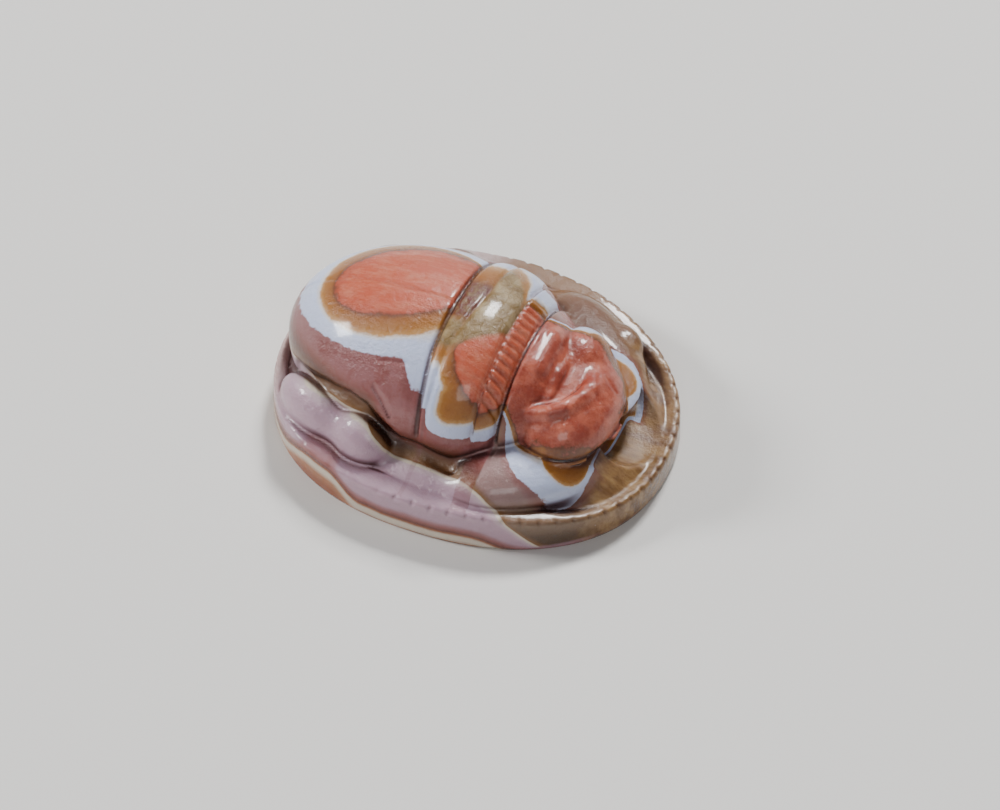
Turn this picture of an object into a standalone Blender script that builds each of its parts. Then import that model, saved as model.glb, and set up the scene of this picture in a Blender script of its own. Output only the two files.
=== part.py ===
"""Carved scarab seal of banded agate.

One stone: a beetle with folded legs on an oval plinth whose rim is notched.
The beetle faces +X, the plinth rests on Z = 0 and the origin is the middle of
its underside. The form is worked out in millimetres and scaled to metres last.

A rough blank is put together from simple shapes and fused into one skin. The
skin is then moved onto the carved surface, which is where form() is zero.
"""

import bmesh
import bpy
import numpy as np
from mathutils import Matrix

MM = 0.001

# Sizes of the stone
LENGTH = 17.1
WIDTH = 13.7
BACK_HEIGHT = 6.95
PLINTH_HEIGHT = 2.02
RIM_WIDTH = 0.95
TROUGH_DEPTH = 0.72

# Outline of the plinth: an oval a little squarer than an ellipse, narrower at the head
OVAL_POWER = 2.24
HEAD_TAPER = 0.05
EDGE_ROUNDING = 0.08
CUT_BELOW = 0.6

# Sizes at which the beetle's own coordinates are given; it is stretched with the stone
DRAWN_LENGTH = 17.1
DRAWN_WIDTH = 13.7
DRAWN_BACK = 6.95
DRAWN_PLINTH = 2.02
BODY_TO_TAIL = 0.1

# Carved lines: depth and half-width
WAIST_GROOVE = (0.16, 0.11)
COLLAR_GROOVE = (0.07, 0.10)
BAND_REAR_GROOVE = (0.11, 0.09)
NECK_GROOVE = (0.20, 0.12)
WING_LINE = (0.06, 0.08)
BAND_STROKE = (0.09, 0.09)
SIDE_CHANNEL = (0.20, 0.30)
RIM_NOTCH = (0.06, 0.07)

# Where the carved lines lie, along the body
WAIST_X = -0.92
COLLAR_X = -0.35
BAND_REAR_X = 1.60
NECK_X = 2.42
BAND_STROKE_SPACING = 0.40
RIM_NOTCH_SPACING = 0.71

# Cells of the skin, coarse to fine, and triangles of the finished solid
CELLS = (0.35, 0.30, 0.25, 0.20, 0.15, 0.10)
TRIANGLES = 9300

STONE_COLOUR = (0.52, 0.24, 0.17, 1.0)


# Blending of forms

def join(a, b, soft):
    """Union of two forms, rounded where they meet."""
    h = np.clip(0.5 + 0.5 * (b - a) / soft, 0.0, 1.0)
    return b + (a - b) * h - soft * h * (1.0 - h)


def common(a, b, soft):
    """What two forms share, rounded along the edge."""
    return -join(-a, -b, soft)


def rise(start, end, value):
    """Smooth step from 0 at start to 1 at end."""
    t = np.clip((value - start) / (end - start), 0.0, 1.0)
    return t * t * (3.0 - 2.0 * t)


def bell(distance, half_width):
    return np.exp(-(distance / half_width) ** 2)


# Simple forms: each gives a distance that is negative inside

def oval(x, y, inset):
    """Upright prism over the plinth's outline, drawn in by inset."""
    half_length = LENGTH / 2.0 - inset
    half_width = (WIDTH / 2.0 - inset) * (1.0 - HEAD_TAPER * 2.0 * x / LENGTH)
    share = (np.abs(x / half_length) ** OVAL_POWER
             + np.abs(y / half_width) ** OVAL_POWER) ** (1.0 / OVAL_POWER)
    share = np.maximum(share, 1e-6)
    return (share - 1.0) / share * np.hypot(x, y)


def pebble(x, y, z, centre, radii, power=2.0, turn=0.0):
    """Ellipsoid, squarer as power grows, turned about the vertical by turn radians."""
    dx, dy, dz = x - centre[0], y - centre[1], z - centre[2]
    if turn:
        c, s = np.cos(turn), np.sin(turn)
        dx, dy = dx * c + dy * s, -dx * s + dy * c
    share = (np.abs(dx / radii[0]) ** power + np.abs(dy / radii[1]) ** power
             + np.abs(dz / radii[2]) ** power) ** (1.0 / power)
    share = np.maximum(share, 1e-6)
    return 0.9 * (share - 1.0) / share * np.sqrt(dx * dx + dy * dy + dz * dz)


def ridge(x, y, z, points, radii):
    """Round bar through the points, with a radius at each."""
    nearest = None
    for start, end, r0, r1 in zip(points[:-1], points[1:], radii[:-1], radii[1:]):
        start, run = np.array(start), np.array(end) - np.array(start)
        dx, dy, dz = x - start[0], y - start[1], z - start[2]
        t = np.clip((dx * run[0] + dy * run[1] + dz * run[2]) / (run @ run), 0.0, 1.0)
        away = np.sqrt((dx - t * run[0]) ** 2 + (dy - t * run[1]) ** 2 + (dz - t * run[2]) ** 2)
        away = away - (r0 + (r1 - r0) * t)
        nearest = away if nearest is None else np.minimum(nearest, away)
    return nearest


# The stone, from the plinth up

def rim_height(x, y):
    """The rim falls towards the head and at the far corner of the tail, and is full on the far side."""
    along, across = 2.0 * x / LENGTH, 2.0 * y / WIDTH
    share = (1.0 - 0.27 * rise(0.23, 1.0, along) - 0.1 * rise(0.64, 1.0, -along)
             + 0.1 * rise(0.0, 0.73, across) * rise(-0.35, 0.0, along)
             - 0.25 * rise(0.58, 0.88, -along) * rise(-0.15, 0.44, across))
    return PLINTH_HEIGHT * share


def front(x):
    """0 behind the head, 1 in front of it."""
    return rise(0.45, 0.85, 2.0 * x / LENGTH)


def rim_width(x):
    return RIM_WIDTH * (1.0 - 0.42 * rise(0.58, 1.0, -2.0 * x / LENGTH) - 0.5 * front(x))


def trough_floor(x, y):
    """Floor of the trough inside the rim; the legs nearly fill its middle, longer on the far side."""
    along = 2.0 * x / LENGTH
    end = 0.35 + 0.25 * rise(0.3, 0.6, 2.0 * y / WIDTH)
    filled = 0.8 * rise(-0.47, -0.29, along) * (1.0 - rise(-0.15, 0.15, along - end))
    return PLINTH_HEIGHT - TROUGH_DEPTH * (1.0 - filled)


def plinth(x, y, z):
    side = oval(x, y, EDGE_ROUNDING * (1.0 - rise(0.0, 0.2, z)))
    slab = common(side, z - rim_height(x, y), 0.25)
    trough = common(oval(x, y, rim_width(x)), trough_floor(x, y) - z, 0.3 + 0.5 * front(x))
    return common(slab, -trough, 0.15 + 0.4 * front(x))


def flank(x, y, z):
    """Slope that climbs from the trough to the underside of the wing cases."""
    above = np.maximum(z - PLINTH_HEIGHT + TROUGH_DEPTH, 0.0)
    slope = 0.85 + 0.15 * rise(0.0, 3.0, x) * rise(-1.0, 1.0, -y)
    return common(oval(x, y, rim_width(x) + 0.1 + above * slope), z - 3.4, 0.5)


def legs(x, y, z):
    """Folded legs, the same on both sides except for a knee on the far one."""
    side = np.abs(y)
    hind = pebble(x, side, z, (-5.45, 3.95, 2.1), (2.0, 1.1, 1.45), turn=0.45)
    middle = pebble(x, side, z, (-3.05, 4.75, 2.05), (1.45, 1.1, 1.6), turn=0.3)
    thigh = pebble(x, side, z, (0.6, 5.15, 1.3), (3.5, 1.0, 1.1))
    fore = pebble(x, side, z, (3.7, 3.6, 1.9), (3.3, 1.75, 1.35), power=2.2, turn=-0.62)
    knee = pebble(x, y, z, (4.9, 4.4, 2.35), (0.9, 0.55, 0.65), turn=-0.5)
    rear = join(join(hind, middle, 0.5), thigh, 0.5)
    return join(rear, join(fore, knee, 0.2), 0.35)


def wing_cases(x, y, z):
    return pebble(x, y, z, (-1.6, 0.0, 3.1), (6.6, 4.7, 3.85))


def thorax(x, y, z):
    return pebble(x, y, z, (0.1, 0.0, 3.1), (3.3, 4.7, 3.9), power=2.15)


def skull(x, y, z):
    return pebble(x, y, z, (3.6, 0.15, 3.0), (2.4, 3.05, 2.05), power=2.3)


def forehead(x, y, z):
    """Cross band behind, a low nose ridge and the swelling on the far side."""
    band = ridge(x, y, z, [(2.8, -2.0, 4.5), (2.95, -0.7, 5.25), (2.95, 0.8, 5.25), (2.95, 1.9, 4.7)],
                 [0.6, 0.68, 0.68, 0.58])
    nose = ridge(x, y, z, [(3.95, 0.5, 4.95), (3.85, -0.4, 5.0), (3.9, -1.4, 4.7)], [0.2, 0.34, 0.3])
    swelling = pebble(x, y, z, (4.0, 1.45, 3.9), (1.4, 1.5, 1.35))
    return join(band, join(nose, swelling, 0.3), 0.12)


def shield(x, y, z):
    """Front plate of the head: it drops from the brow to a free lip all round."""
    plate = pebble(x, y, z, (4.5, -0.5, 3.25), (2.15, 2.85, 1.75), power=2.15)
    plate = common(plate, 3.2 - z, 0.12)
    lip = pebble(x, y, z, (4.5, -0.5, 3.1), (2.3, 3.0, 1.2), power=2.15)
    plate = np.minimum(plate, common(lip, np.abs(z - 3.08) - 0.1, 0.08))
    hollow = pebble(x, y, z, (4.0, -0.3, 5.6), (1.25, 1.75, 1.1))
    plate = common(plate, -hollow, 0.3)
    brow = ridge(x, y, z, [(2.8, -2.25, 3.9), (3.5, -2.3, 4.5), (4.25, -2.2, 4.78), (4.85, -1.75, 4.85),
                           (5.25, -0.95, 4.85), (5.4, -0.2, 4.7), (5.5, 0.6, 4.3)],
                 [0.3, 0.3, 0.3, 0.3, 0.3, 0.3, 0.25])
    return join(plate, brow, 0.3)


def cheek(x, y, z):
    """Thin ledge on the far side of the head, below the front plate."""
    ledge = pebble(x, y, z, (4.8, 1.25, 2.85), (1.95, 1.95, 0.6))
    return common(ledge, 2.7 - z, 0.1)


def scoop(x, y, z):
    """Hollow under the front of the head."""
    return pebble(x, y, z, (7.1, 0.35, 2.6), (2.1, 2.0, 1.5))


def line_at(x, place, cut):
    """Depth of a groove that runs across the body."""
    return cut[0] * bell(x - place, cut[1])


def strokes(value, spacing, cut):
    """Depth of a row of short cuts along value."""
    return cut[0] * bell(value - np.round(value / spacing) * spacing, cut[1])


def waist(y):
    """Where the wing cases end: the groove bends towards the head low on the sides."""
    return WAIST_X + 0.25 * rise(2.0, 4.6, np.abs(y))


def collar(y):
    """Front edge of the collar strip, which is wider on the far side."""
    return COLLAR_X + 0.5 * rise(-2.5, 1.5, y)


def body_lines(x, y, z):
    """Grooves and strokes of the back."""
    upper = rise(3.0, 3.6, z)
    lines = line_at(x, waist(y), WAIST_GROOVE) + line_at(x, collar(y), COLLAR_GROOVE)
    lines = lines + line_at(x, NECK_X, NECK_GROOVE)
    lines = lines + line_at(x, BAND_REAR_X, BAND_REAR_GROOVE) * rise(3.6, 4.2, z)
    lines = lines + line_at(y, 0.0, WING_LINE) * rise(-WAIST_X, 0.2 - WAIST_X, -x)
    in_band = rise(BAND_REAR_X, BAND_REAR_X + 0.15, x) * rise(-NECK_X, 0.15 - NECK_X, -x)
    in_band = in_band * rise(-3.6, -3.4, y) * rise(-2.3, -2.1, -y)
    return (lines + strokes(y, BAND_STROKE_SPACING, BAND_STROKE) * in_band) * upper


def side_channel(x, y, z):
    """Channel between the wing cases and the legs, down to the trough."""
    path = [(-6.75, 2.8, 3.1), (-5.15, 3.65, 3.75), (-3.85, 4.1, 4.0), (-3.05, 4.3, 3.9), (-2.3, 4.5, 3.35),
            (-1.45, 4.5, 2.85), (-0.15, 4.67, 2.75), (0.85, 4.87, 2.6), (1.35, 4.97, 2.3), (3.3, 5.3, 1.8)]
    away = ridge(x, np.abs(y), z, path, [0.0] * len(path))
    return SIDE_CHANNEL[0] * bell(np.maximum(away, 0.0), SIDE_CHANNEL[1])


def rim_notches(x, y, z):
    """Short cuts below the upper edge of the plinth's side, worn faint behind the middle legs."""
    around = np.arctan2(y / WIDTH, x / LENGTH)
    travelled = around * (LENGTH + WIDTH) / 4.0
    edge = bell(z - rim_height(x, y) + 0.1, 0.22) * rise(-0.3, -0.05, oval(x, y, 0.0))
    worn = 0.25 + 0.75 * rise(-0.25, -0.1, 2.0 * x / LENGTH)
    return strokes(travelled, RIM_NOTCH_SPACING, RIM_NOTCH) * edge * worn


def form(x, y, z):
    """The carved stone in millimetres: below zero inside, zero on its surface.

    It goes on below Z = 0 by CUT_BELOW, where the underside is cut afterwards.
    """
    stand = plinth(x, y, z)
    slope = flank(x, y, z)
    bx = x * DRAWN_LENGTH / LENGTH + BODY_TO_TAIL
    by = y * DRAWN_WIDTH / WIDTH
    bz = DRAWN_PLINTH + (z - PLINTH_HEIGHT) * (DRAWN_BACK - DRAWN_PLINTH) / (BACK_HEIGHT - PLINTH_HEIGHT)
    back = join(wing_cases(bx, by, bz), thorax(bx, by, bz), 0.1)
    low = join(slope, legs(bx, by, bz), 0.35)
    low = join(low, skull(bx, by, bz), 0.3)
    face = join(low, forehead(bx, by, bz), 0.12)
    face = common(face, -scoop(bx, by, bz), 0.15)
    face = join(face, join(shield(bx, by, bz), cheek(bx, by, bz), 0.15), 0.12)
    stone = join(stand, join(back, face, 0.1), 0.12)
    stone = stone + body_lines(bx, by, bz) + side_channel(bx, by, bz) + rim_notches(x, y, z)
    return common(stone, -CUT_BELOW - z, EDGE_ROUNDING)


# The blank and the carving

def add_turned_base(bm):
    """Plinth, trough and flank as one closed ring of sections around the oval."""
    floor = PLINTH_HEIGHT - TROUGH_DEPTH
    inner = RIM_WIDTH + 0.1
    top = floor + 2.1
    profile = [(0.0, -CUT_BELOW), (0.0, PLINTH_HEIGHT), (RIM_WIDTH, PLINTH_HEIGHT), (RIM_WIDTH, floor),
               (inner, floor), (inner + 1.8, top)]
    sides = 96
    grid = bmesh.ops.create_grid(bm, x_segments=sides, y_segments=len(profile) - 1, size=1.0)["verts"]
    for vert in grid:
        angle = (vert.co.x + 1.0) * np.pi
        row = round((vert.co.y + 1.0) / 2.0 * (len(profile) - 1))
        inset, height = profile[row]
        c, s = np.cos(angle), np.sin(angle)
        x = np.sign(c) * abs(c) ** (2.0 / OVAL_POWER) * (LENGTH / 2.0 - inset)
        taper = 1.0 - HEAD_TAPER * 2.0 * x / LENGTH
        y = np.sign(s) * abs(s) ** (2.0 / OVAL_POWER) * (WIDTH / 2.0 - inset) * taper
        vert.co = (x, y, height)
    bmesh.ops.remove_doubles(bm, verts=grid, dist=1e-4)
    bmesh.ops.holes_fill(bm, edges=[edge for edge in bm.edges if edge.is_boundary])


def add_pebble(bm, centre, radii):
    """One ellipsoid of the beetle, from its drawn place to its place on the stone."""
    up = (BACK_HEIGHT - PLINTH_HEIGHT) / (DRAWN_BACK - DRAWN_PLINTH)
    stretch = Matrix.Diagonal((LENGTH / DRAWN_LENGTH, WIDTH / DRAWN_WIDTH, up, 1.0))
    lift = Matrix.Translation((0.0, 0.0, PLINTH_HEIGHT - DRAWN_PLINTH * up))
    place = Matrix.Translation((centre[0] - BODY_TO_TAIL, centre[1], centre[2]))
    size = Matrix.Diagonal((radii[0], radii[1], radii[2], 1.0))
    bmesh.ops.create_uvsphere(bm, u_segments=48, v_segments=24, radius=1.0,
                              matrix=lift @ stretch @ place @ size)


def make_blank():
    """Rough stone put together from overlapping forms, in millimetres."""
    bm = bmesh.new()
    add_turned_base(bm)
    add_pebble(bm, (-1.6, 0.0, 3.1), (6.6, 4.7, 3.85))
    add_pebble(bm, (0.1, 0.0, 3.1), (3.3, 4.7, 3.9))
    add_pebble(bm, (3.6, -0.1, 3.0), (2.4, 2.75, 2.6))
    add_pebble(bm, (4.5, -0.5, 3.25), (2.1, 2.8, 1.6))
    bmesh.ops.recalc_face_normals(bm, faces=bm.faces)
    mesh = bpy.data.meshes.new("blank")
    bm.to_mesh(mesh)
    bm.free()
    return mesh


def modified(mesh, kind, **settings):
    """The mesh after one modifier."""
    holder = bpy.data.objects.new("holder", mesh)
    bpy.context.scene.collection.objects.link(holder)
    modifier = holder.modifiers.new("step", kind)
    for name, value in settings.items():
        setattr(modifier, name, value)
    graph = bpy.context.evaluated_depsgraph_get()
    result = bpy.data.meshes.new_from_object(holder.evaluated_get(graph))
    bpy.data.objects.remove(holder)
    return result


def carve(mesh):
    """Moves the skin onto the carved surface, step by step along the slope of form()."""
    points = np.empty(len(mesh.vertices) * 3)
    mesh.vertices.foreach_get("co", points)
    points = points.reshape(-1, 3)
    ends = np.empty(len(mesh.edges) * 2, dtype=np.int64)
    mesh.edges.foreach_get("vertices", ends)
    first, second = ends.reshape(-1, 2).T
    neighbours = np.maximum(np.bincount(ends, minlength=len(points)), 1)
    for turn in range(14):
        if turn < 9:
            total = np.zeros_like(points)
            np.add.at(total, first, points[second])
            np.add.at(total, second, points[first])
            points = points + 0.5 * (total / neighbours[:, None] - points)
        value, slope = form_and_slope(points)
        move = value[:, None] * slope / np.maximum((slope * slope).sum(axis=1), 0.05)[:, None]
        length = np.linalg.norm(move, axis=1, keepdims=True)
        points = points - move * np.minimum(1.0, 0.3 / np.maximum(length, 1e-9))
    mesh.vertices.foreach_set("co", points.ravel())
    mesh.update()


def form_and_slope(points):
    """Value of form() and its gradient at each point."""
    reach = 0.005
    value = form(*points.T)
    slope = np.empty_like(points)
    for axis in range(3):
        offset = np.zeros(3)
        offset[axis] = reach
        slope[:, axis] = (form(*(points + offset).T) - form(*(points - offset).T)) / (2.0 * reach)
    return value, slope


def cut_underside(mesh):
    """Cuts the stone flat at Z = 0 and closes it with one level face."""
    bm = bmesh.new()
    bm.from_mesh(mesh)
    everything = bm.verts[:] + bm.edges[:] + bm.faces[:]
    bmesh.ops.bisect_plane(bm, geom=everything, plane_co=(0.0, 0.0, 0.0), plane_no=(0.0, 0.0, 1.0),
                           dist=1e-4, clear_inner=True)
    rim = [vert for vert in bm.verts if vert.is_boundary]
    bmesh.ops.remove_doubles(bm, verts=rim, dist=0.01)
    bmesh.ops.holes_fill(bm, edges=[edge for edge in bm.edges if edge.is_boundary])
    bmesh.ops.triangulate(bm, faces=bm.faces)
    bm.to_mesh(mesh)
    bm.free()


def agate():
    material = bpy.data.materials.new("agate")
    material.use_nodes = True
    surface = material.node_tree.nodes["Principled BSDF"]
    surface.inputs["Base Color"].default_value = STONE_COLOUR
    surface.inputs["Roughness"].default_value = 0.25
    surface.inputs["Metallic"].default_value = 0.0
    return material


def build():
    for obj in list(bpy.data.objects):
        bpy.data.objects.remove(obj, do_unlink=True)
    mesh = make_blank()
    for cell in CELLS:
        mesh = modified(mesh, "REMESH", mode="VOXEL", voxel_size=cell)
        carve(mesh)
    mesh = modified(mesh, "DECIMATE", ratio=TRIANGLES / (2 * len(mesh.polygons)))
    cut_underside(mesh)
    mesh.transform(Matrix.Scale(MM, 4))
    mesh.name = "scarab"
    mesh.materials.clear()
    mesh.materials.append(agate())
    scarab = bpy.data.objects.new("scarab", mesh)
    collection = bpy.data.collections.new("scarab_seal")
    bpy.context.scene.collection.children.link(collection)
    collection.objects.link(scarab)


build()
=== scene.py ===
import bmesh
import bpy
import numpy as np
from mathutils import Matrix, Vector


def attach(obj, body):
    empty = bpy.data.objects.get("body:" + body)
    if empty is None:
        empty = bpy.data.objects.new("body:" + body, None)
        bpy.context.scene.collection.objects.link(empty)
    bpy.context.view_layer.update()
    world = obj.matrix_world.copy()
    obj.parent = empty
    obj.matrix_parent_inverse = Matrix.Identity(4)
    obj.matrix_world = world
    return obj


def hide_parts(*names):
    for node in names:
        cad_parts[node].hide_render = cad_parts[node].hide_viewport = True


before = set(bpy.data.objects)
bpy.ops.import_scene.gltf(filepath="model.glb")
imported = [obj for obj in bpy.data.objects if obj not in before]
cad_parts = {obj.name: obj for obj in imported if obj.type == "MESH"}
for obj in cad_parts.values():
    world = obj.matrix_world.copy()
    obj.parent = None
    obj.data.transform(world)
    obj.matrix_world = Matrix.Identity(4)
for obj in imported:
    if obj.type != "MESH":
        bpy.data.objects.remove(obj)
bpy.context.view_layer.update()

# Looks of the carved scarab seal of banded agate.
#
# The beetle faces +X and the plinth rests on Z = 0. The stone's form and the fields that
# place its bands are worked out in millimetres. The skin is finer than the CAD solid's
# and carries the scratches, and each band field is stored on it as a named attribute.

MM = 0.001

# Sizes of the stone
LENGTH = 17.1
WIDTH = 13.7
PLINTH_HEIGHT = 2.02
RIM_WIDTH = 0.95
TROUGH_DEPTH = 0.72

# Outline of the plinth: an oval a little squarer than an ellipse, narrower at the head
OVAL_POWER = 2.24
HEAD_TAPER = 0.05
EDGE_ROUNDING = 0.08
CUT_BELOW = 0.6

# The beetle's own coordinates start this far behind the middle of the plinth
BODY_TO_TAIL = 0.1

# Carved lines: depth and half-width
WAIST_GROOVE = (0.16, 0.11)
COLLAR_GROOVE = (0.07, 0.10)
BAND_REAR_GROOVE = (0.11, 0.09)
NECK_GROOVE = (0.20, 0.12)
WING_LINE = (0.06, 0.08)
BAND_STROKE = (0.09, 0.09)
SIDE_CHANNEL = (0.20, 0.30)
RIM_NOTCH = (0.06, 0.07)

# Where the carved lines lie, along the body
WAIST_X = -0.92
COLLAR_X = -0.35
BAND_REAR_X = 1.60
NECK_X = 2.42
BAND_STROKE_SPACING = 0.40
RIM_NOTCH_SPACING = 0.71

# Cells of the skin, coarse to fine
CELLS = (0.35, 0.30, 0.25, 0.20, 0.15, 0.10, 0.08)

# Passes that even the skin out while it is moved, and passes that only move it
EVEN_TURNS = 6
CLOSE_TURNS = 4

# Rings of the head, seen from above: centre and half axes of each patch
HEAD_RED = ((4.05, -0.65), (2.65, 2.6))
HEAD_AMBER_NEAR = ((5.25, -2.9), (0.95, 1.05))
HEAD_AMBER_FAR = ((5.2, 1.5), (1.25, 1.15))
HEAD_WHITE_NEAR = ((4.5, -2.7), (1.85, 2.05))
HEAD_WHITE_FAR = ((5.0, 1.3), (1.75, 1.85))
HEAD_AMBER_MARGIN = 0.15
HEAD_WHITE_MARGIN = 0.2

# Wear: each scratch runs between two places seen from above, with its depth and half-width
SCRATCHES = [
    ((-2.95, -4.0), (-2.0, -4.5), 0.07, 0.07),
    ((-3.0, -3.23), (-1.82, -3.11), 0.03, 0.07),
    ((4.86, -1.5), (4.91, -2.34), 0.04, 0.07),
    ((5.3, -0.44), (5.91, -0.78), 0.035, 0.07),
    ((5.55, 0.53), (6.1, 0.26), 0.035, 0.07),
]

# View: degrees and millimetres
VIEW_AZIMUTH = 24.0
VIEW_ELEVATION = 51.0
VIEW_DISTANCE = 600.0
VIEW_WIDTH = 1000.0 / 24.0
VIEW_RIGHT = 0.908
VIEW_UP = 0.429


# Blending of forms

def join(a, b, soft):
    """Union of two forms, rounded where they meet."""
    h = np.clip(0.5 + 0.5 * (b - a) / soft, 0.0, 1.0)
    return b + (a - b) * h - soft * h * (1.0 - h)


def common(a, b, soft):
    """What two forms share, rounded along the edge."""
    return -join(-a, -b, soft)


def rise(start, end, value):
    """Smooth step from 0 at start to 1 at end."""
    t = np.clip((value - start) / (end - start), 0.0, 1.0)
    return t * t * (3.0 - 2.0 * t)


def bell(distance, half_width):
    return np.exp(-(distance / half_width) ** 2)


# Simple forms: each gives a distance that is negative inside

def oval(x, y, inset):
    """Upright prism over the plinth's outline, drawn in by inset."""
    half_length = LENGTH / 2.0 - inset
    half_width = (WIDTH / 2.0 - inset) * (1.0 - HEAD_TAPER * 2.0 * x / LENGTH)
    share = (np.abs(x / half_length) ** OVAL_POWER
             + np.abs(y / half_width) ** OVAL_POWER) ** (1.0 / OVAL_POWER)
    share = np.maximum(share, 1e-6)
    return (share - 1.0) / share * np.hypot(x, y)


def pebble(x, y, z, centre, radii, power=2.0, turn=0.0):
    """Ellipsoid, squarer as power grows, turned about the vertical by turn radians."""
    dx, dy, dz = x - centre[0], y - centre[1], z - centre[2]
    if turn:
        c, s = np.cos(turn), np.sin(turn)
        dx, dy = dx * c + dy * s, -dx * s + dy * c
    share = (np.abs(dx / radii[0]) ** power + np.abs(dy / radii[1]) ** power
             + np.abs(dz / radii[2]) ** power) ** (1.0 / power)
    share = np.maximum(share, 1e-6)
    return 0.9 * (share - 1.0) / share * np.sqrt(dx * dx + dy * dy + dz * dz)


def ridge(x, y, z, points, radii):
    """Round bar through the points, with a radius at each."""
    nearest = None
    for start, end, r0, r1 in zip(points[:-1], points[1:], radii[:-1], radii[1:]):
        start, run = np.array(start), np.array(end) - np.array(start)
        dx, dy, dz = x - start[0], y - start[1], z - start[2]
        t = np.clip((dx * run[0] + dy * run[1] + dz * run[2]) / (run @ run), 0.0, 1.0)
        away = np.sqrt((dx - t * run[0]) ** 2 + (dy - t * run[1]) ** 2 + (dz - t * run[2]) ** 2)
        away = away - (r0 + (r1 - r0) * t)
        nearest = away if nearest is None else np.minimum(nearest, away)
    return nearest


# The stone, from the plinth up

def rim_height(x, y):
    """The rim falls towards the head and at the far corner of the tail, and is full on the far side."""
    along, across = 2.0 * x / LENGTH, 2.0 * y / WIDTH
    share = (1.0 - 0.27 * rise(0.23, 1.0, along) - 0.1 * rise(0.64, 1.0, -along)
             + 0.1 * rise(0.0, 0.73, across) * rise(-0.35, 0.0, along)
             - 0.25 * rise(0.58, 0.88, -along) * rise(-0.15, 0.44, across))
    return PLINTH_HEIGHT * share


def front(x):
    """0 behind the head, 1 in front of it."""
    return rise(0.45, 0.85, 2.0 * x / LENGTH)


def rim_width(x):
    return RIM_WIDTH * (1.0 - 0.42 * rise(0.58, 1.0, -2.0 * x / LENGTH) - 0.5 * front(x))


def trough_floor(x, y):
    """Floor of the trough inside the rim; the legs nearly fill its middle, longer on the far side."""
    along = 2.0 * x / LENGTH
    end = 0.35 + 0.25 * rise(0.3, 0.6, 2.0 * y / WIDTH)
    filled = 0.8 * rise(-0.47, -0.29, along) * (1.0 - rise(-0.15, 0.15, along - end))
    return PLINTH_HEIGHT - TROUGH_DEPTH * (1.0 - filled)


def plinth(x, y, z):
    side = oval(x, y, EDGE_ROUNDING * (1.0 - rise(0.0, 0.2, z)))
    slab = common(side, z - rim_height(x, y), 0.25)
    trough = common(oval(x, y, rim_width(x)), trough_floor(x, y) - z, 0.3 + 0.5 * front(x))
    return common(slab, -trough, 0.15 + 0.4 * front(x))


def flank(x, y, z):
    """Slope that climbs from the trough to the underside of the wing cases."""
    above = np.maximum(z - PLINTH_HEIGHT + TROUGH_DEPTH, 0.0)
    slope = 0.85 + 0.15 * rise(0.0, 3.0, x) * rise(-1.0, 1.0, -y)
    return common(oval(x, y, rim_width(x) + 0.1 + above * slope), z - 3.4, 0.5)


def legs(x, y, z):
    """Folded legs, the same on both sides except for a knee on the far one."""
    side = np.abs(y)
    hind = pebble(x, side, z, (-5.45, 3.95, 2.1), (2.0, 1.1, 1.45), turn=0.45)
    middle = pebble(x, side, z, (-3.05, 4.75, 2.05), (1.45, 1.1, 1.6), turn=0.3)
    thigh = pebble(x, side, z, (0.6, 5.15, 1.3), (3.5, 1.0, 1.1))
    fore = pebble(x, side, z, (3.7, 3.6, 1.9), (3.3, 1.75, 1.35), power=2.2, turn=-0.62)
    knee = pebble(x, y, z, (4.9, 4.4, 2.35), (0.9, 0.55, 0.65), turn=-0.5)
    rear = join(join(hind, middle, 0.5), thigh, 0.5)
    return join(rear, join(fore, knee, 0.2), 0.35)


def wing_cases(x, y, z):
    return pebble(x, y, z, (-1.6, 0.0, 3.1), (6.6, 4.7, 3.85))


def thorax(x, y, z):
    return pebble(x, y, z, (0.1, 0.0, 3.1), (3.3, 4.7, 3.9), power=2.15)


def skull(x, y, z):
    return pebble(x, y, z, (3.6, 0.15, 3.0), (2.4, 3.05, 2.05), power=2.3)


def forehead(x, y, z):
    """Cross band behind, a low nose ridge and the swelling on the far side."""
    band = ridge(x, y, z, [(2.8, -2.0, 4.5), (2.95, -0.7, 5.25), (2.95, 0.8, 5.25), (2.95, 1.9, 4.7)],
                 [0.6, 0.68, 0.68, 0.58])
    nose = ridge(x, y, z, [(3.95, 0.5, 4.95), (3.85, -0.4, 5.0), (3.9, -1.4, 4.7)], [0.2, 0.34, 0.3])
    swelling = pebble(x, y, z, (4.0, 1.45, 3.9), (1.4, 1.5, 1.35))
    return join(band, join(nose, swelling, 0.3), 0.12)


def shield(x, y, z):
    """Front plate of the head: it drops from the brow to a free lip all round."""
    plate = pebble(x, y, z, (4.5, -0.5, 3.25), (2.15, 2.85, 1.75), power=2.15)
    plate = common(plate, 3.2 - z, 0.12)
    lip = pebble(x, y, z, (4.5, -0.5, 3.1), (2.3, 3.0, 1.2), power=2.15)
    plate = np.minimum(plate, common(lip, np.abs(z - 3.08) - 0.1, 0.08))
    hollow = pebble(x, y, z, (4.0, -0.3, 5.6), (1.25, 1.75, 1.1))
    plate = common(plate, -hollow, 0.3)
    brow = ridge(x, y, z, [(2.8, -2.25, 3.9), (3.5, -2.3, 4.5), (4.25, -2.2, 4.78), (4.85, -1.75, 4.85),
                           (5.25, -0.95, 4.85), (5.4, -0.2, 4.7), (5.5, 0.6, 4.3)],
                 [0.3, 0.3, 0.3, 0.3, 0.3, 0.3, 0.25])
    return join(plate, brow, 0.3)


def cheek(x, y, z):
    """Thin ledge on the far side of the head, below the front plate."""
    ledge = pebble(x, y, z, (4.8, 1.25, 2.85), (1.95, 1.95, 0.6))
    return common(ledge, 2.7 - z, 0.1)


def scoop(x, y, z):
    """Hollow under the front of the head."""
    return pebble(x, y, z, (7.1, 0.35, 2.6), (2.1, 2.0, 1.5))


def line_at(x, place, cut):
    """Depth of a groove that runs across the body."""
    return cut[0] * bell(x - place, cut[1])


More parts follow.
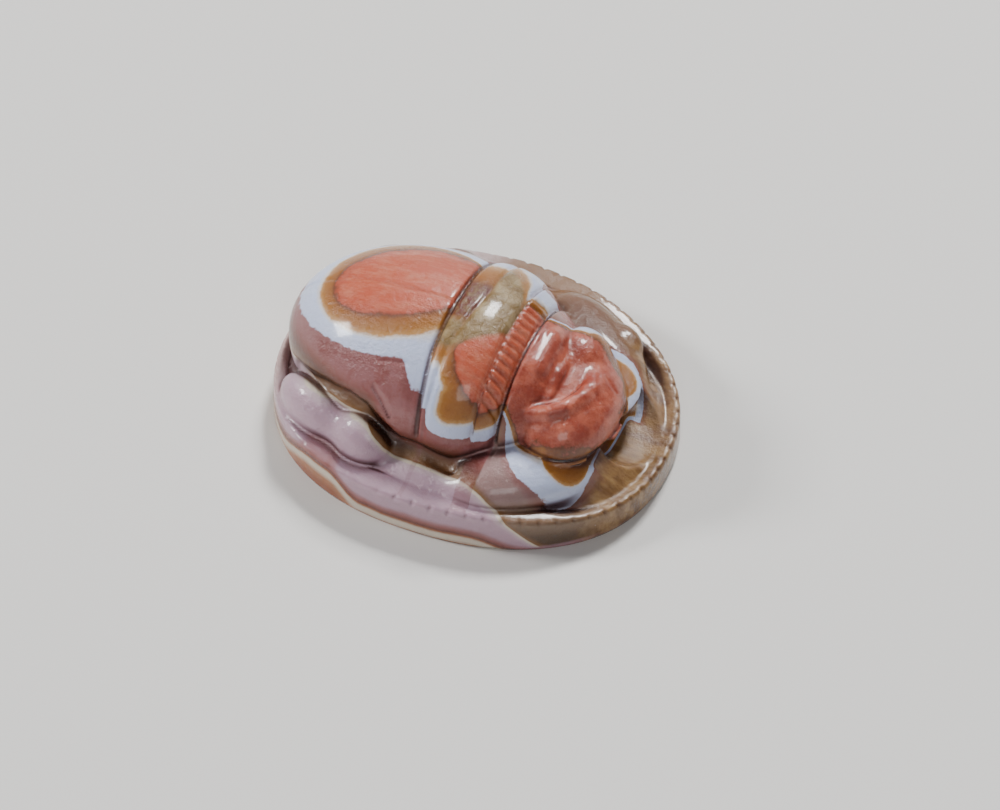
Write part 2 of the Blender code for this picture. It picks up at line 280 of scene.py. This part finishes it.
def strokes(value, spacing, cut):
    """Depth of a row of short cuts along value."""
    return cut[0] * bell(value - np.round(value / spacing) * spacing, cut[1])


def waist(y):
    """Where the wing cases end: the groove bends towards the head low on the sides."""
    return WAIST_X + 0.25 * rise(2.0, 4.6, np.abs(y))


def collar(y):
    """Front edge of the collar strip, which is wider on the far side."""
    return COLLAR_X + 0.5 * rise(-2.5, 1.5, y)


def body_lines(x, y, z):
    """Grooves and strokes of the back."""
    upper = rise(3.0, 3.6, z)
    lines = line_at(x, waist(y), WAIST_GROOVE) + line_at(x, collar(y), COLLAR_GROOVE)
    lines = lines + line_at(x, NECK_X, NECK_GROOVE)
    lines = lines + line_at(x, BAND_REAR_X, BAND_REAR_GROOVE) * rise(3.6, 4.2, z)
    lines = lines + line_at(y, 0.0, WING_LINE) * rise(-WAIST_X, 0.2 - WAIST_X, -x)
    in_band = rise(BAND_REAR_X, BAND_REAR_X + 0.15, x) * rise(-NECK_X, 0.15 - NECK_X, -x)
    in_band = in_band * rise(-3.6, -3.4, y) * rise(-2.3, -2.1, -y)
    return (lines + strokes(y, BAND_STROKE_SPACING, BAND_STROKE) * in_band) * upper


def side_channel(x, y, z):
    """Channel between the wing cases and the legs, down to the trough."""
    path = [(-6.75, 2.8, 3.1), (-5.15, 3.65, 3.75), (-3.85, 4.1, 4.0), (-3.05, 4.3, 3.9), (-2.3, 4.5, 3.35),
            (-1.45, 4.5, 2.85), (-0.15, 4.67, 2.75), (0.85, 4.87, 2.6), (1.35, 4.97, 2.3), (3.3, 5.3, 1.8)]
    away = ridge(x, np.abs(y), z, path, [0.0] * len(path))
    return SIDE_CHANNEL[0] * bell(np.maximum(away, 0.0), SIDE_CHANNEL[1])


def rim_notches(x, y, z):
    """Short cuts below the upper edge of the plinth's side, worn faint behind the middle legs."""
    around = np.arctan2(y / WIDTH, x / LENGTH)
    travelled = around * (LENGTH + WIDTH) / 4.0
    edge = bell(z - rim_height(x, y) + 0.1, 0.22) * rise(-0.3, -0.05, oval(x, y, 0.0))
    worn = 0.25 + 0.75 * rise(-0.25, -0.1, 2.0 * x / LENGTH)
    return strokes(travelled, RIM_NOTCH_SPACING, RIM_NOTCH) * edge * worn


def form(x, y, z):
    """The carved stone in millimetres: below zero inside, zero on its surface.

    It goes on below Z = 0 by CUT_BELOW, where the underside is cut afterwards.
    """
    bx = x + BODY_TO_TAIL
    back = join(wing_cases(bx, y, z), thorax(bx, y, z), 0.1)
    low = join(flank(x, y, z), legs(bx, y, z), 0.35)
    low = join(low, skull(bx, y, z), 0.3)
    face = join(low, forehead(bx, y, z), 0.12)
    face = common(face, -scoop(bx, y, z), 0.15)
    face = join(face, join(shield(bx, y, z), cheek(bx, y, z), 0.15), 0.12)
    stone = join(plinth(x, y, z), join(back, face, 0.1), 0.12)
    stone = stone + body_lines(bx, y, z) + side_channel(bx, y, z) + rim_notches(x, y, z)
    return common(stone, -CUT_BELOW - z, EDGE_ROUNDING)


# The skin

def add_turned_base(bm):
    """Plinth, trough and flank as one closed ring of sections around the oval."""
    floor = PLINTH_HEIGHT - TROUGH_DEPTH
    inner = RIM_WIDTH + 0.1
    top = floor + 2.1
    profile = [(0.0, -CUT_BELOW), (0.0, PLINTH_HEIGHT), (RIM_WIDTH, PLINTH_HEIGHT), (RIM_WIDTH, floor),
               (inner, floor), (inner + 1.8, top)]
    sides = 96
    grid = bmesh.ops.create_grid(bm, x_segments=sides, y_segments=len(profile) - 1, size=1.0)["verts"]
    for vert in grid:
        angle = (vert.co.x + 1.0) * np.pi
        row = round((vert.co.y + 1.0) / 2.0 * (len(profile) - 1))
        inset, height = profile[row]
        c, s = np.cos(angle), np.sin(angle)
        x = np.sign(c) * abs(c) ** (2.0 / OVAL_POWER) * (LENGTH / 2.0 - inset)
        taper = 1.0 - HEAD_TAPER * 2.0 * x / LENGTH
        y = np.sign(s) * abs(s) ** (2.0 / OVAL_POWER) * (WIDTH / 2.0 - inset) * taper
        vert.co = (x, y, height)
    bmesh.ops.remove_doubles(bm, verts=grid, dist=1e-4)
    bmesh.ops.holes_fill(bm, edges=[edge for edge in bm.edges if edge.is_boundary])


def add_pebble(bm, centre, radii):
    """One ellipsoid of the beetle."""
    place = Matrix.Translation((centre[0] - BODY_TO_TAIL, centre[1], centre[2]))
    size = Matrix.Diagonal((radii[0], radii[1], radii[2], 1.0))
    bmesh.ops.create_uvsphere(bm, u_segments=48, v_segments=24, radius=1.0, matrix=place @ size)


def make_blank():
    """Rough stone put together from overlapping forms, in millimetres."""
    bm = bmesh.new()
    add_turned_base(bm)
    add_pebble(bm, (-1.6, 0.0, 3.1), (6.6, 4.7, 3.85))
    add_pebble(bm, (0.1, 0.0, 3.1), (3.3, 4.7, 3.9))
    add_pebble(bm, (3.6, -0.1, 3.0), (2.4, 2.75, 2.6))
    add_pebble(bm, (4.5, -0.5, 3.25), (2.1, 2.8, 1.6))
    bmesh.ops.recalc_face_normals(bm, faces=bm.faces)
    mesh = bpy.data.meshes.new("blank")
    bm.to_mesh(mesh)
    bm.free()
    return mesh


def modified(mesh, kind, **settings):
    """The mesh after one modifier."""
    holder = bpy.data.objects.new("holder", mesh)
    bpy.context.scene.collection.objects.link(holder)
    modifier = holder.modifiers.new("step", kind)
    for name, value in settings.items():
        setattr(modifier, name, value)
    graph = bpy.context.evaluated_depsgraph_get()
    result = bpy.data.meshes.new_from_object(holder.evaluated_get(graph))
    bpy.data.objects.remove(holder)
    return result


def points_of(mesh):
    points = np.empty(len(mesh.vertices) * 3)
    mesh.vertices.foreach_get("co", points)
    return points.reshape(-1, 3)


def form_and_slope(surface, points):
    """Value of the surface function and its gradient at each point."""
    reach = 0.002
    value = surface(*points.T)
    slope = np.empty_like(points)
    for axis in range(3):
        offset = np.zeros(3)
        offset[axis] = reach
        slope[:, axis] = (surface(*(points + offset).T) - value) / reach
    return value, slope


def carve(mesh, surface):
    """Moves the skin onto the carved surface, step by step along its slope."""
    points = points_of(mesh)
    ends = np.empty(len(mesh.edges) * 2, dtype=np.int64)
    mesh.edges.foreach_get("vertices", ends)
    first, second = ends.reshape(-1, 2).T
    neighbours = np.maximum(np.bincount(ends, minlength=len(points)), 1)
    for turn in range(EVEN_TURNS + CLOSE_TURNS):
        if turn < EVEN_TURNS:
            total = np.empty_like(points)
            for axis in range(3):
                total[:, axis] = (np.bincount(first, points[second, axis], len(points))
                                  + np.bincount(second, points[first, axis], len(points)))
            points = points + 0.5 * (total / neighbours[:, None] - points)
        value, slope = form_and_slope(surface, points)
        move = value[:, None] * slope / np.maximum((slope * slope).sum(axis=1), 0.05)[:, None]
        length = np.linalg.norm(move, axis=1, keepdims=True)
        points = points - move * np.minimum(1.0, 0.3 / np.maximum(length, 1e-9))
    mesh.vertices.foreach_set("co", points.ravel())
    mesh.update()


def cut_underside(mesh):
    """Cuts the stone flat at Z = 0 and closes it with one level face."""
    bm = bmesh.new()
    bm.from_mesh(mesh)
    everything = bm.verts[:] + bm.edges[:] + bm.faces[:]
    bmesh.ops.bisect_plane(bm, geom=everything, plane_co=(0.0, 0.0, 0.0), plane_no=(0.0, 0.0, 1.0),
                           dist=1e-4, clear_inner=True)
    rim = [vert for vert in bm.verts if vert.is_boundary]
    bmesh.ops.remove_doubles(bm, verts=rim, dist=0.01)
    bmesh.ops.holes_fill(bm, edges=[edge for edge in bm.edges if edge.is_boundary])
    bm.to_mesh(mesh)
    bm.free()


# Wear

def scratches(x, y, z):
    depth = 0.0
    flat = np.zeros_like(z)
    for start, end, deep, half_width in SCRATCHES:
        away = ridge(x, y, flat, [(*start, 0.0), (*end, 0.0)], [0.0, 0.0])
        depth = depth + deep * bell(away, half_width)
    return depth * rise(3.2, 3.6, z)


def worn_form(x, y, z):
    return form(x, y, z) + scratches(x, y, z)


# Bands of the agate. A ring field runs 0 to 1 over red, to 2 over amber, to 3 over white.

def ellipse(x, y, centre, half_axes, turn):
    """1 on the ellipse, less inside."""
    c, s = np.cos(turn), np.sin(turn)
    dx, dy = x - centre[0], y - centre[1]
    return np.hypot((dx * c + dy * s) / half_axes[0], (dy * c - dx * s) / half_axes[1])


def between(inner, outer):
    """0 on the inner ellipse, 1 on the outer one."""
    from_inner = np.maximum(inner - 1.0, 0.0)
    to_outer = np.maximum(1.0 - outer, 0.0)
    return from_inner / np.maximum(from_inner + to_outer, 1e-6)


def run_through(value, knots):
    """Straight runs through knots given as (place, amount)."""
    places, amounts = zip(*knots)
    return np.interp(value, places, amounts)


def wing_rings(x, y):
    """Three nested ellipses over the wing cases; white runs down the side before the waist."""
    red = ellipse(x, y, (-3.31, 0.66), (3.2, 2.05), 0.42)
    amber = ellipse(x, y, (-3.45, 0.42), (3.6, 2.85), 0.26)
    white = ellipse(x, y, (-3.22, 0.3), (4.77, 3.39), 0.02)
    white = white - 0.3 * rise(-2.2, -1.2, x) * rise(0.0, 1.0, -y)
    rings = np.minimum(red, 1.0) + between(red, amber) + between(amber, white)
    return rings + np.maximum(white - 1.0, 0.0) * 4.0


def thorax_rings(x, y, z):
    """Red core low on the near side, then amber, and white along the waist and the lower edge."""
    left = 0.45 - 0.5 * rise(5.8, 6.3, z)
    edge = np.hypot(np.maximum(left - x, 0.0), np.maximum(5.15 - z, 0.0))
    rings = run_through(edge, [(0.0, 1.5), (0.5, 2.0), (1.2, 3.0), (2.0, 4.0)])
    core = np.minimum(z - 6.6 + 0.85 * (x - 0.2), x - 0.1)
    return rings - rise(-0.9, 0.5, core)


def far_rings(x, y):
    """White border on the far side of the thorax, with amber inside it."""
    edge = run_through(x, [(-0.4, 4.0), (0.2, 3.7), (0.8, 3.2), (1.2, 2.7), (1.4, 1.9), (1.6, 1.3)])
    return run_through(y - edge, [(-1.3, 1.2), (-0.6, 1.7), (0.0, 2.0), (1.6, 3.0), (2.4, 4.0)])


def collar_rings(y):
    """Bands of the strip between the wing cases and the thorax."""
    return run_through(y, [(-4.6, 3.5), (-4.15, 3.0), (-3.2, 2.4), (-2.75, 2.0), (-2.2, 1.5), (1.4, 1.3),
                     (2.6, 1.8), (3.0, 2.0), (3.9, 3.0), (4.3, 4.0)])


def hatch_rings(y, z):
    """Red hatched band with amber and white at both ends."""
    near = run_through(z, [(3.4, 3.3), (3.75, 3.0), (4.3, 2.0), (4.95, 1.0), (5.3, 0.6)])
    far = run_through(y, [(1.2, 0.6), (1.5, 1.0), (2.1, 2.0), (3.2, 3.0), (4.0, 4.0)])
    return np.where(y < 0.0, near, far)


def head_rings(x, y, z):
    """Red over the head, with an amber and white patch spreading on each side of it."""
    def patch(centre, half_axes, margin=0.0):
        return ellipse(x, y, centre, (half_axes[0] + margin, half_axes[1] + margin), 0.0)

    red = patch(*HEAD_RED)
    amber = np.minimum.reduce([patch(*HEAD_RED, HEAD_AMBER_MARGIN), patch(*HEAD_AMBER_NEAR),
                               patch(*HEAD_AMBER_FAR)])
    white = np.minimum.reduce([patch(*HEAD_RED, HEAD_WHITE_MARGIN), patch(*HEAD_WHITE_NEAR),
                               patch(*HEAD_WHITE_FAR)])
    rings = np.minimum(red, 1.0) + between(red, amber) + between(amber, white)
    rings = rings + np.maximum(white - 1.0, 0.0) * 4.0
    in_front = rise(6.0, 6.4, x) * rise(-2.8, -2.2, y) * rise(1.7, 1.1, y)
    return np.maximum(rings, rise(3.0, 2.85, z) * (1.2 + 3.0 * in_front))


def cream_layer(x, y, z):
    """Distance above the cream line over the lilac layer, which leans outwards beside the thorax."""
    height = 3.5 - 1.15 * rise(-2.9, -1.5, x) + 0.35 * rise(0.8, 2.2, x) - 2.6 * rise(2.3, 6.0, x)
    side = -3.4 - 1.1 * rise(-8.0, -3.5, x) - 0.7 * rise(-3.3, -2.4, x) - 0.9 * rise(0.5, 3.4, x)
    lean = 0.35 + 0.9 * rise(-3.0, -1.8, x) * rise(4.2, 3.0, x)
    return (z - height + lean * (y - side)) / np.hypot(1.0, lean)


def foot_line(x):
    """Height of the brown line under the lilac layer: it climbs the plinth below the hind legs."""
    return 0.9 + 0.8 * rise(-6.8, -5.0, x) - 0.95 * rise(-4.0, -2.4, x) - 0.95 * rise(2.4, 5.0, x)


def band_fields(x, y, z, slope):
    """Every field of the stone's colours, and of its painted shade in grooves and hollows, by attribute
    name.
    """
    bx = x + BODY_TO_TAIL
    soft = 0.04
    past_waist = rise(-soft, soft, bx - waist(y))
    past_collar = rise(-soft, soft, bx - collar(y))
    past_band = rise(-soft, soft, bx - BAND_REAR_X)
    past_neck = rise(-soft, soft, bx - NECK_X)
    tan_side = rise(-0.25, 0.25, y + 1.75 - 0.85 * x)
    thorax_all = thorax_rings(x, y, z) * (1.0 - tan_side) + far_rings(x, y) * tan_side
    ring = wing_rings(x, y)
    for share, rings in ((past_waist, collar_rings(y)), (past_collar, thorax_all),
                         (past_band, hatch_rings(y, z)), (past_neck, head_rings(x, y, z))):
        ring = ring + (rings - ring) * share
    ring = np.maximum(ring, 4.0 * rise(2.4, 1.9, z) * (1.0 - past_neck))
    on_strip = past_waist * (1.0 - past_collar)
    return {
        "ring": ring,
        "cream": cream_layer(x, y, z),
        "foot": z - foot_line(x),
        "height": z,
        "tan": np.maximum(past_collar * (1.0 - past_band) * tan_side * rise(-0.9, -0.5, 3.2 - x * 0.9 - y),
                          on_strip * rise(-2.3, -1.9, y) * (1.0 - rise(-1.0, -0.4, y))),
        "streak": on_strip * rise(-0.9, -0.4, y) * (1.0 - rise(1.2, 1.8, y)),
        "head": past_neck,
        "skirt": past_neck * rise(0.1, 0.5, cream_layer(x, y, z)),
        "front": rise(4.6, 6.4, x + 0.3 * y) * rise(-0.3, 0.3, 2.9 - z),
        # Tail: where cream is mixed in, partly lighter stone and partly a painted highlight.
        "tail": rise(6.8, 8.2, -x) * rise(2.6, 2.0, z),
        "far": rise(-0.5, 1.5, y) * rise(-0.5, 0.5, 5.2 - z),
        # Painted shade: groove and hollow mark where the colour is darkened in cuts and in crevices.
        "groove": hollowness(x, y, z, slope, 0.25),
        "hollow": hollowness(x, y, z, slope, 0.9),
    }


def hollowness(x, y, z, slope, reach):
    """0 on flat and raised places, towards 1 in grooves about reach wide. The material darkens the colour
    there as painted shade.
    """
    ahead = np.stack([x, y, z], axis=1) + slope / np.linalg.norm(slope, axis=1, keepdims=True) * reach
    return np.clip(1.0 - worn_form(*ahead.T) / reach, 0.0, 1.0)


# Materials

def linear(red, green, blue):
    """Colour from 0 to 255 values as the screen shows them."""
    shown = np.array([red, green, blue]) / 255.0
    light = np.where(shown <= 0.04045, shown / 12.92, ((shown + 0.055) / 1.055) ** 2.4)
    return (*light.tolist(), 1.0)


RED = linear(184, 82, 54)
SALMON = linear(198, 114, 86)
ROSE = linear(138, 74, 70)
BRICK = linear(152, 62, 44)
AMBER = linear(142, 82, 20)
DARK_AMBER = linear(104, 52, 20)
PALE_AMBER = linear(180, 132, 72)
WHITE = linear(196, 205, 234)
WARM_WHITE = linear(214, 208, 206)
PINK = linear(154, 98, 98)
MAUVE = linear(146, 114, 110)
BROWN = linear(92, 50, 34)
GOLD = linear(132, 92, 52)
CREAM = linear(216, 202, 184)
LILAC = linear(184, 150, 166)
TAN = linear(122, 94, 48)
PALE_TAN = linear(184, 164, 124)
UMBER = linear(84, 60, 38)


class Graph:
    """Short names for the nodes of one material."""

    def __init__(self, material):
        self.nodes = material.node_tree.nodes
        self.links = material.node_tree.links

    def put(self, socket, value):
        if isinstance(value, bpy.types.NodeSocket):
            self.links.new(value, socket)
        else:
            socket.default_value = value

    def field(self, name):
        node = self.nodes.new("ShaderNodeAttribute")
        node.attribute_name = name
        return node.outputs["Fac"]

    def math(self, kind, a, b=0.0, c=0.0):
        node = self.nodes.new("ShaderNodeMath")
        node.operation = kind
        for socket, value in zip(node.inputs, (a, b, c)):
            self.put(socket, value)
        return node.outputs[0]

    def noise(self, place, scale, detail=3.0, roughness=0.55):
        """Noise from about -0.5 to 0.5."""
        node = self.nodes.new("ShaderNodeTexNoise")
        self.put(node.inputs["Vector"], place)
        self.put(node.inputs["Scale"], scale)
        self.put(node.inputs["Detail"], detail)
        self.put(node.inputs["Roughness"], roughness)
        return self.math("SUBTRACT", node.outputs["Fac"], 0.5)

    def squeezed(self, place, factors):
        """Place with each axis multiplied by its own factor."""
        node = self.nodes.new("ShaderNodeVectorMath")
        node.operation = "MULTIPLY"
        self.put(node.inputs[0], place)
        node.inputs[1].default_value = factors
        return node.outputs["Vector"]

    def cracks(self, place, scale):
        node = self.nodes.new("ShaderNodeTexVoronoi")
        node.feature = "DISTANCE_TO_EDGE"
        self.put(node.inputs["Vector"], place)
        self.put(node.inputs["Scale"], scale)
        return node.outputs["Distance"]

    def ramp(self, value, stops, low=0.0, high=1.0):
        """Colour of value, from stops given as (place, colour) between low and high."""
        if (low, high) != (0.0, 1.0):
            value = self.step(value, low, high, smooth=False)
        node = self.nodes.new("ShaderNodeValToRGB")
        self.put(node.inputs["Fac"], value)
        elements = node.color_ramp.elements
        while len(elements) < len(stops):
            elements.new(1.0)
        for element, (place, colour) in zip(elements, stops):
            element.position = (place - low) / (high - low)
            element.color = colour
        return node.outputs["Color"]

    def step(self, value, start, end, smooth=True):
        """0 below start and 1 above end."""
        node = self.nodes.new("ShaderNodeMapRange")
        node.interpolation_type = "SMOOTHSTEP" if smooth else "LINEAR"
        self.put(node.inputs["Value"], value)
        self.put(node.inputs["From Min"], start)
        self.put(node.inputs["From Max"], end)
        return node.outputs["Result"]

    def mix(self, share, a, b, kind="MIX"):
        node = self.nodes.new("ShaderNodeMix")
        node.data_type = "RGBA"
        node.blend_type = kind
        self.put(node.inputs["Factor"], share)
        self.put(node.inputs[6], a)
        self.put(node.inputs[7], b)
        return node.outputs[2]

    def bump(self, height, distance, strength, normal=None):
        node = self.nodes.new("ShaderNodeBump")
        self.put(node.inputs["Height"], height)
        node.inputs["Distance"].default_value = distance
        self.put(node.inputs["Strength"], strength)
        if normal is not None:
            self.put(node.inputs["Normal"], normal)
        return node.outputs["Normal"]


def millimetres(graph):
    """Place on the object, in millimetres."""
    place = graph.nodes.new("ShaderNodeTexCoord").outputs["Object"]
    scale = graph.nodes.new("ShaderNodeVectorMath")
    scale.operation = "SCALE"
    graph.put(scale.inputs[0], place)
    scale.inputs["Scale"].default_value = 1.0 / MM
    return scale.outputs["Vector"]


def ring_colours(graph, place):
    """Red, amber and white of the rings, with a ragged outer edge. Gives the colours and where they end."""
    drift = graph.math("MULTIPLY", graph.noise(place, 1.5, 4.0, 0.6), 0.32)
    ragged = graph.math("MULTIPLY", graph.noise(place, 5.0, 3.0, 0.7), 0.18)
    ring = graph.math("ADD", graph.field("ring"), graph.math("ADD", drift, ragged))
    colours = graph.ramp(ring, [(0.0, RED), (0.75, RED), (0.95, linear(172, 72, 44)), (1.03, DARK_AMBER),
                                (1.25, AMBER), (1.75, linear(158, 100, 30)), (1.93, PALE_AMBER),
                                (2.06, WARM_WHITE), (2.25, WHITE), (3.2, WHITE)], 0.0, 3.2)
    streaks = graph.step(graph.noise(graph.squeezed(place, (1.0, 3.0, 1.0)), 1.4, 6.0, 0.7), -0.1, 0.22)
    colours = graph.mix(graph.math("MULTIPLY", streaks, graph.step(ring, 1.0, 0.85)), colours, SALMON)
    head = graph.mix(graph.step(graph.noise(place, 1.3, 5.0, 0.6), -0.14, 0.18), BRICK, linear(190, 98, 74))
    red_head = graph.math("MULTIPLY", graph.field("head"), graph.step(ring, 1.05, 0.92))
    return graph.mix(red_head, colours, head), ring


def layer_colours(graph, place):
    """Layers of the stone outside the rings."""
    wave = graph.math("MULTIPLY", graph.noise(place, 0.6, 3.0, 0.5), 0.3)
    cream = graph.math("ADD", graph.field("cream"), wave)
    foot = graph.math("ADD", graph.field("foot"), wave)
    height = graph.math("ADD", graph.field("height"), wave)
    patches = graph.step(graph.noise(place, 0.9, 5.0, 0.65), -0.05, 0.2)
    flank = graph.mix(patches, PINK, ROSE)
    upper = graph.ramp(cream, [(-0.35, LILAC), (-0.08, linear(200, 176, 182)), (-0.03, CREAM), (0.04, CREAM),
                               (0.1, GOLD), (0.45, linear(106, 70, 40)), (0.75, BROWN),
                               (1.15, linear(128, 66, 54)), (1.5, ROSE), (4.0, ROSE)], -0.5, 4.0)
    upper = graph.mix(graph.step(cream, 1.0, 1.6), upper, flank)
    skirt = graph.ramp(height, [(0.8, UMBER), (1.5, linear(112, 84, 58)), (1.9, linear(132, 100, 76)),
                                (2.4, MAUVE), (3.2, MAUVE), (3.8, linear(150, 112, 88))], 0.0, 4.0)
    upper = graph.mix(graph.field("skirt"), upper, skirt)
    lower = graph.ramp(foot, [(-1.2, linear(150, 84, 50)), (-0.75, linear(176, 116, 78)), (-0.45, CREAM),
                              (-0.25, CREAM), (-0.12, linear(156, 90, 50)), (0.0, linear(104, 44, 30)),
                              (0.2, linear(150, 88, 84)), (0.6, LILAC)], -1.2, 1.0)
    near = graph.mix(graph.step(foot, 0.35, 0.6), lower, upper)
    far = graph.ramp(height, [(0.0, linear(184, 146, 126)), (1.4, linear(196, 180, 184)),
                              (1.95, linear(196, 176, 176)), (2.2, linear(128, 92, 62)),
                              (3.4, linear(110, 70, 50)), (3.8, linear(138, 68, 58)),
                              (5.0, linear(154, 74, 66)), (6.0, WHITE)], 0.0, 6.0)
    layers = graph.mix(graph.field("far"), near, far)
    fibres = graph.step(graph.noise(graph.squeezed(place, (0.5, 2.0, 1.0)), 1.2, 5.0, 0.6), -0.2, 0.3)
    basin = graph.mix(fibres, linear(112, 74, 38), linear(176, 138, 88))
    layers = graph.mix(graph.math("MULTIPLY", graph.field("front"), 0.9), layers, basin)
    # Cream at the low tail end: partly lighter stone and partly a painted highlight.
    tail = graph.mix(graph.step(height, 1.2, 2.2), linear(180, 130, 88), CREAM)
    return graph.mix(graph.math("MULTIPLY", graph.field("tail"), 0.5), layers, tail)


def agate():
    material = bpy.data.materials.new("agate")
    material.use_nodes = True
    graph = Graph(material)
    surface = graph.nodes["Principled BSDF"]
    place = millimetres(graph)
    rings, ring = ring_colours(graph, place)
    outside = graph.step(ring, 2.96, 3.04)
    edge = graph.math("MULTIPLY", graph.step(ring, 3.8, 3.1), 0.55)
    layers = graph.mix(edge, layer_colours(graph, place), linear(122, 56, 54))
    colour = graph.mix(outside, rings, layers)
    cover = graph.math("SUBTRACT", 1.0, graph.step(ring, 1.5, 1.9))
    tan = graph.mix(graph.step(graph.noise(place, 1.2, 4.0), -0.15, 0.3), TAN, PALE_TAN)
    colour = graph.mix(graph.math("MULTIPLY", graph.field("tan"), cover), colour, tan)
    streak = graph.mix(graph.step(graph.noise(place, 3.0, 5.0, 0.7), -0.1, 0.2), linear(96, 40, 26), TAN)
    colour = graph.mix(graph.math("MULTIPLY", graph.field("streak"), cover), colour, streak)
    grain = graph.step(graph.noise(place, 8.0, 5.0, 0.75), 0.02, 0.3)
    colour = graph.mix(graph.math("MULTIPLY", grain, graph.step(ring, 2.1, 1.8)), colour,
                       (0.62, 0.5, 0.42, 1.0), "MULTIPLY")
    # Painted shade: the colour darkens towards dark red-brown in hollows and crevices, such as the trough
    # below the legs and under the head, where shade falls.
    hollow = graph.step(graph.field("hollow"), 0.3, 0.85)
    colour = graph.mix(graph.math("MULTIPLY", hollow, 0.85), colour, linear(104, 48, 34), "MULTIPLY")
    # Painted shade: the colour darkens along the carved grooves and cuts, where shade falls in them.
    groove = graph.step(graph.field("groove"), 0.12, 0.8)
    colour = graph.mix(graph.math("MULTIPLY", groove, 0.45), colour, linear(150, 80, 56), "MULTIPLY")
    graph.put(surface.inputs["Base Color"], colour)
    rough = graph.math("ADD", graph.math("MULTIPLY", graph.noise(place, 6.0, 4.0), 0.15), 0.24)
    graph.put(surface.inputs["Roughness"], rough)
    surface.inputs["IOR"].default_value = 1.54
    surface.inputs["Subsurface Weight"].default_value = 0.12
    surface.inputs["Subsurface Radius"].default_value = (1.0, 0.55, 0.35)
    surface.inputs["Subsurface Scale"].default_value = 0.35 * MM
    surface.inputs["Coat Weight"].default_value = 0.4
    surface.inputs["Coat Roughness"].default_value = 0.1
    crackle = graph.step(graph.cracks(place, 2.2), 0.0, 0.06)
    crackled = graph.math("MULTIPLY_ADD", graph.field("tan"), 0.6, 0.2)
    waves = graph.bump(graph.noise(place, 3.5, 6.0, 0.65), 0.09 * MM, 0.8)
    normal = graph.bump(crackle, 0.02 * MM, crackled, waves)
    graph.put(surface.inputs["Normal"], normal)
    return material


def floor_material():
    material = bpy.data.materials.new("paper")
    material.use_nodes = True
    surface = material.node_tree.nodes["Principled BSDF"]
    surface.inputs["Base Color"].default_value = linear(226, 224, 220)
    surface.inputs["Roughness"].default_value = 0.6
    return material


# Objects of the scene

def make_stone():
    mesh = make_blank()
    for cell in CELLS:
        mesh = modified(mesh, "REMESH", mode="VOXEL", voxel_size=cell)
        carve(mesh, worn_form)
    cut_underside(mesh)
    points = points_of(mesh)
    _, slope = form_and_slope(worn_form, points)
    for name, values in band_fields(*points.T, slope).items():
        mesh.attributes.new(name, "FLOAT", "POINT").data.foreach_set("value", values.astype(np.float32))
    mesh.transform(Matrix.Scale(MM, 4))
    mesh.shade_smooth()
    mesh.materials.clear()
    mesh.materials.append(agate())
    stone = bpy.data.objects.new("scarab_stone", mesh)
    bpy.context.scene.collection.objects.link(stone)
    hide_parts("scarab")
    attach(stone, "root")


def make_floor():
    bpy.ops.mesh.primitive_plane_add(size=3.0, location=(0.0, 0.0, 0.0))
    floor = bpy.context.object
    floor.name = "floor"
    floor.data.materials.append(floor_material())


def view_axes():
    """Right, up and back of the view."""
    azimuth, elevation = np.radians(VIEW_AZIMUTH), np.radians(VIEW_ELEVATION)
    level = np.cos(elevation)
    back = Vector((np.sin(azimuth) * level, -np.cos(azimuth) * level, np.sin(elevation)))
    right = Vector((np.cos(azimuth), np.sin(azimuth), 0.0))
    return right, back.cross(right), back


def make_camera():
    right, up, back = view_axes()
    data = bpy.data.cameras.new("camera")
    data.lens = data.sensor_width * VIEW_DISTANCE / VIEW_WIDTH
    data.clip_start = 0.05
    camera = bpy.data.objects.new("camera", data)
    place = (right * VIEW_RIGHT + up * VIEW_UP + back * VIEW_DISTANCE) * MM
    turn = Matrix((right, up, back)).transposed().to_4x4()
    camera.matrix_world = Matrix.Translation(place) @ turn
    bpy.context.scene.collection.objects.link(camera)
    bpy.context.scene.camera = camera


def add_light(name, direction, distance, size, power):
    """Square soft light that faces the stone from a direction."""
    data = bpy.data.lights.new(name, "AREA")
    data.shape = "SQUARE"
    data.size = size
    data.energy = power
    light = bpy.data.objects.new(name, data)
    towards = Vector(direction).normalized()
    light.location = towards * distance
    light.rotation_mode = "QUATERNION"
    light.rotation_quaternion = towards.to_track_quat("Z", "Y")
    bpy.context.scene.collection.objects.link(light)


def make_lights():
    world = bpy.data.worlds.new("studio")
    world.use_nodes = True
    world.node_tree.nodes["Background"].inputs["Color"].default_value = (0.9, 0.92, 1.0, 1.0)
    world.node_tree.nodes["Background"].inputs["Strength"].default_value = 0.15
    bpy.context.scene.world = world
    add_light("back_top", (-0.02, 0.62, 0.76), 0.5, 0.10, 2.8)
    add_light("left", (-0.85, -0.2, 0.55), 0.5, 0.10, 1.9)
    add_light("front", (0.35, -0.8, 0.75), 0.7, 0.25, 1.1)


make_stone()
make_floor()
make_camera()
make_lights()
